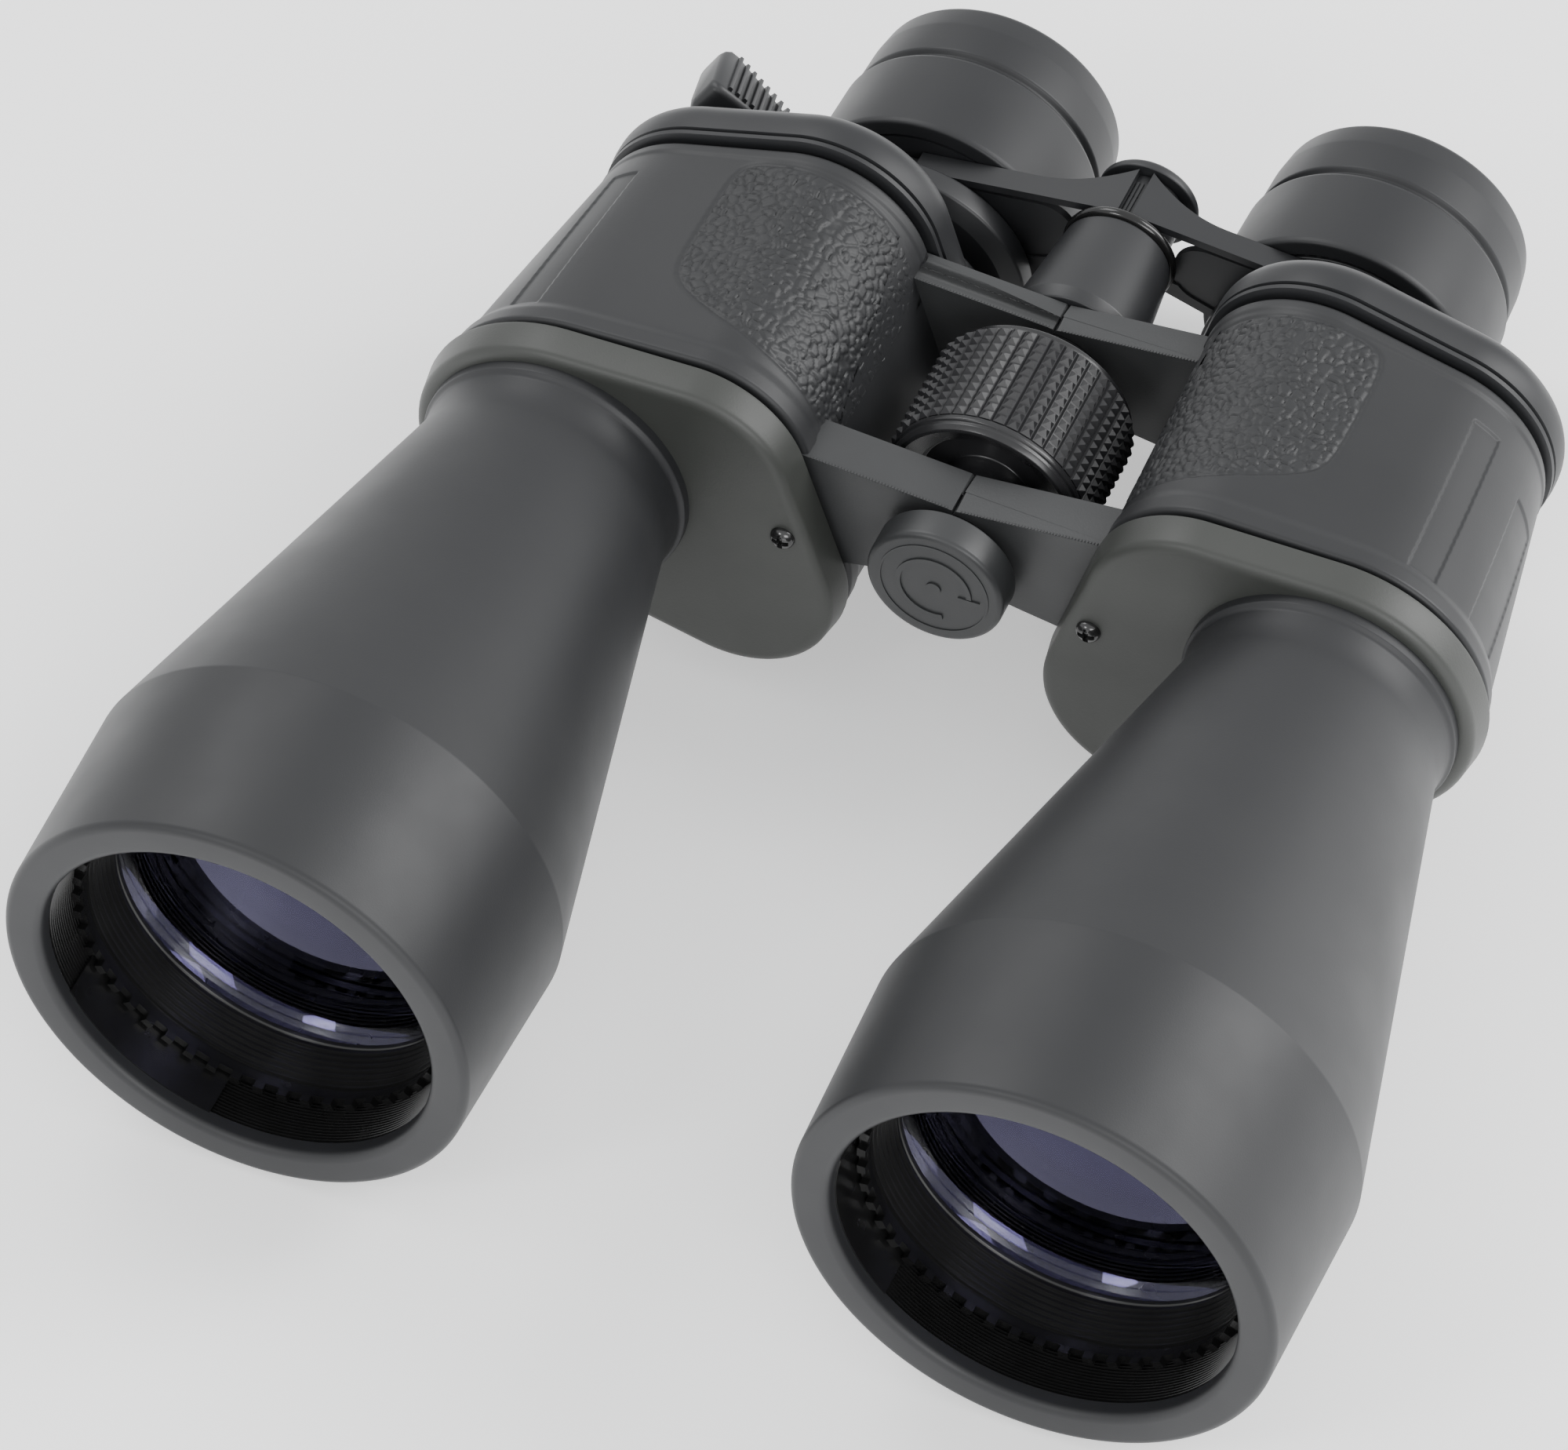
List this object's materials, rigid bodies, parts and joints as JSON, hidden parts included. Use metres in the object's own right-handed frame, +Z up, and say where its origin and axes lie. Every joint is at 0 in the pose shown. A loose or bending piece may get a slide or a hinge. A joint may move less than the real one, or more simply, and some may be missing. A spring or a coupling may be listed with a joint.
{
  "type": "zoom binoculars",
  "caption": "Large zoom porro-prism binoculars with long flared objective barrels, ribbed centre focus wheel, thumb zoom lever, folding centre hinge and capped tripod socket.",
  "frame": {"origin": "bottom centre of the whole object's bounding box as it lies opened on a flat surface", "axes": "+Z up, +Y from the objective lenses towards the eyepieces, +X to the right as seen from the objective end"},
  "size_m": [0.214, 0.2436, 0.0812],
  "materials": {
    "armour_rubber": "fine matte rubber skin",
    "inner_black": "blackened, ribbed and threaded",
    "coated_glass": "blue-violet anti-reflection coating",
    "clear_glass": "polished optical glass",
    "satin_casting": "satin fine-sand paint",
    "satin_plastic": "satin moulded plastic",
    "eyecup_rubber": "smooth matte rubber",
    "grip_rubber": "matte rubber with rows of pyramids",
    "seal_rubber": "glossy rubber ring",
    "black_metal": "black anodised look",
    "screw_black": "glossy blackened steel",
    "steel": "bright turned steel"
  },
  "bodies": {
    "left_half": {"barrel_armour_left": "armour_rubber", "objective_barrel_left": "inner_black", "lens_cell_left": "inner_black", "crown_lens_left": "coated_glass", "flint_lens_left": "coated_glass", "retaining_ring_left": "inner_black", "prism_housing_left": "satin_casting", "front_cover_left": "satin_casting", "rear_cover_left": "satin_plastic", "grip_wrap_left": "armour_rubber", "front_prism_left": "clear_glass", "rear_prism_left": "clear_glass", "prism_clips_left": "steel", "cover_screws_left": "screw_black", "eyepiece_guide_left": "satin_plastic", "front_axle": "steel", "focus_tube": "satin_plastic", "dust_seal": "seal_rubber"},
    "right_half": {"barrel_armour_right": "armour_rubber", "objective_barrel_right": "inner_black", "lens_cell_right": "inner_black", "crown_lens_right": "coated_glass", "flint_lens_right": "coated_glass", "retaining_ring_right": "inner_black", "prism_housing_right": "satin_casting", "front_cover_right": "satin_casting", "rear_cover_right": "satin_plastic", "grip_wrap_right": "armour_rubber", "front_prism_right": "clear_glass", "rear_prism_right": "clear_glass", "prism_clips_right": "steel", "cover_screws_right": "screw_black", "eyepiece_guide_right": "satin_plastic"},
    "focus_wheel": {"focus_hub": "satin_plastic", "focus_grip": "grip_rubber"},
    "focus_carriage": {"focus_shaft": "steel", "end_cap": "satin_plastic"},
    "left_eyepiece": {"eyepiece_tube_left": "black_metal", "bridge_arm_left": "satin_plastic", "ocular_barrel_left": "satin_plastic", "eye_lens_left": "coated_glass", "eyecup_left": "eyecup_rubber"},
    "right_eyepiece": {"eyepiece_tube_right": "black_metal", "bridge_arm_right": "satin_plastic"},
    "left_zoom_ring": {"zoom_ring_left": "satin_plastic", "zoom_lever": "satin_plastic"},
    "right_zoom_ring": {"zoom_ring_right": "satin_plastic"},
    "diopter_ring": {"diopter_ring": "satin_plastic"},
    "right_ocular": {"ocular_barrel_right": "satin_plastic", "eye_lens_right": "coated_glass", "eyecup_right": "eyecup_rubber"},
    "tripod_cap": {"tripod_cap": "satin_plastic"},
    "left_zoom_front": {"zoom_carrier_front_left": "inner_black", "zoom_lens_front_left": "clear_glass"},
    "left_zoom_rear": {"zoom_carrier_rear_left": "inner_black", "zoom_lens_rear_left": "clear_glass"},
    "right_zoom_front": {"zoom_carrier_front_right": "inner_black", "zoom_lens_front_right": "clear_glass"},
    "right_zoom_rear": {"zoom_carrier_rear_right": "inner_black", "zoom_lens_rear_right": "clear_glass"}
  },
  "joints": [
    {"name": "centre_hinge", "type": "hinge", "parent": "left_half", "child": "right_half", "pos_m": [0, 0.0352, 0.03986], "axis": [0, 1, 0], "range_deg": [0, 45]},
    {"name": "focus_wheel_turn", "type": "hinge", "parent": "left_half", "child": "focus_wheel", "pos_m": [0, 0.0342, 0.03986], "axis": [0, 1, 0], "range_deg": [0, 210]},
    {"name": "focus_carriage_slide", "type": "slide", "parent": "left_half", "child": "focus_carriage", "axis": [0, 1, 0], "range_m": [0, 0.007]},
    {"name": "left_eyepiece_slide", "type": "slide", "parent": "left_half", "child": "left_eyepiece", "axis": [0, 1, 0], "range_m": [0, 0.007]},
    {"name": "right_eyepiece_slide", "type": "slide", "parent": "right_half", "child": "right_eyepiece", "axis": [0, 1, 0], "range_m": [0, 0.007]},
    {"name": "zoom_lever_turn", "type": "hinge", "parent": "left_eyepiece", "child": "left_zoom_ring", "pos_m": [-0.03687, 0.0782, 0.02532], "axis": [0, 1, 0], "range_deg": [-60, 0]},
    {"name": "right_zoom_ring_turn", "type": "hinge", "parent": "right_eyepiece", "child": "right_zoom_ring", "pos_m": [0.03687, 0.0782, 0.02532], "axis": [0, 1, 0], "range_deg": [-60, 0]},
    {"name": "diopter_ring_turn", "type": "hinge", "parent": "right_eyepiece", "child": "diopter_ring", "pos_m": [0.03687, 0.0782, 0.02532], "axis": [0, 1, 0], "range_deg": [0, 120]},
    {"name": "right_ocular_slide", "type": "slide", "parent": "right_eyepiece", "child": "right_ocular", "axis": [0, 1, 0], "range_m": [0, 0.0025]},
    {"name": "tripod_cap_slide", "type": "slide", "parent": "left_half", "child": "tripod_cap", "axis": [0, -1, 0], "range_m": [0, 0.03]},
    {"name": "left_zoom_front_slide", "type": "slide", "parent": "left_eyepiece", "child": "left_zoom_front", "axis": [0, 1, 0], "range_m": [-0.005, 0]},
    {"name": "left_zoom_rear_slide", "type": "slide", "parent": "left_eyepiece", "child": "left_zoom_rear", "axis": [0, 1, 0], "range_m": [0, 0.006]},
    {"name": "right_zoom_front_slide", "type": "slide", "parent": "right_eyepiece", "child": "right_zoom_front", "axis": [0, 1, 0], "range_m": [-0.005, 0]},
    {"name": "right_zoom_rear_slide", "type": "slide", "parent": "right_eyepiece", "child": "right_zoom_rear", "axis": [0, 1, 0], "range_m": [0, 0.006]}
  ],
  "couplings": [
    {"joint": "focus_wheel_turn", "follows": "focus_carriage_slide", "rad_per_m": 523.6},
    {"joint": "left_eyepiece_slide", "follows": "focus_carriage_slide", "ratio": 1},
    {"joint": "right_eyepiece_slide", "follows": "focus_carriage_slide", "ratio": 1},
    {"joint": "diopter_ring_turn", "follows": "right_ocular_slide", "rad_per_m": 837.76},
    {"joint": "zoom_lever_turn", "follows": "left_zoom_rear_slide", "rad_per_m": -174.53},
    {"joint": "right_zoom_ring_turn", "follows": "left_zoom_rear_slide", "rad_per_m": -174.53},
    {"joint": "left_zoom_front_slide", "follows": "left_zoom_rear_slide", "ratio": -0.83333},
    {"joint": "right_zoom_front_slide", "follows": "left_zoom_rear_slide", "ratio": -0.83333},
    {"joint": "right_zoom_rear_slide", "follows": "left_zoom_rear_slide", "ratio": 1}
  ]
}
